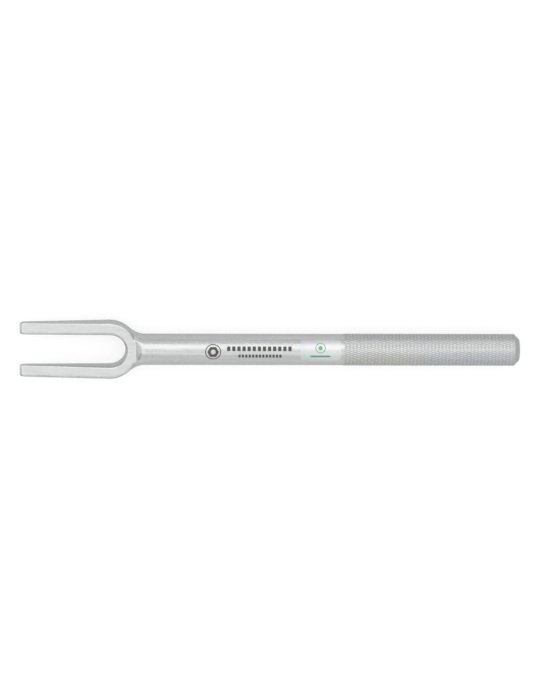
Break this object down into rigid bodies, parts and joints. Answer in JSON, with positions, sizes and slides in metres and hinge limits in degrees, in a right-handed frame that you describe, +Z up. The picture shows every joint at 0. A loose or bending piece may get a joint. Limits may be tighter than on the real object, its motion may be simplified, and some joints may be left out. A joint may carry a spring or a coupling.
{
  "type": "ball joint separator fork",
  "caption": "Wedge-shaped two-tined fork on a round shank with a knurled grip and a chamfered striking end, driven between a ball joint and its arm to part them.",
  "frame": {"origin": "middle of the footprint, under the tool, on the surface that the round grip rests on", "axes": "+X along the tool from the fork tips to the striking end, +Z up and square to the fork's plane, +Y across the fork towards the right tine as held"},
  "size_m": [0.3, 0.0358, 0.0191],
  "materials": {
    "plated_steel": "satin bright zinc plate over a drop-forged surface",
    "knurled_steel": "fine diamond knurl under satin bright zinc plate",
    "label_film": "thin glossy film with a faint pearly tint",
    "marking_ink": "dark brown-black ink printed on the plate",
    "label_ink": "green ink printed on the film"
  },
  "bodies": {
    "root": {"tine_left": "plated_steel", "tine_right": "plated_steel", "fork_crotch": "plated_steel", "neck": "plated_steel", "shank": "plated_steel", "knurled_grip": "knurled_steel", "striking_end": "plated_steel", "film_label": "label_film"}
  },
  "joints": []
}
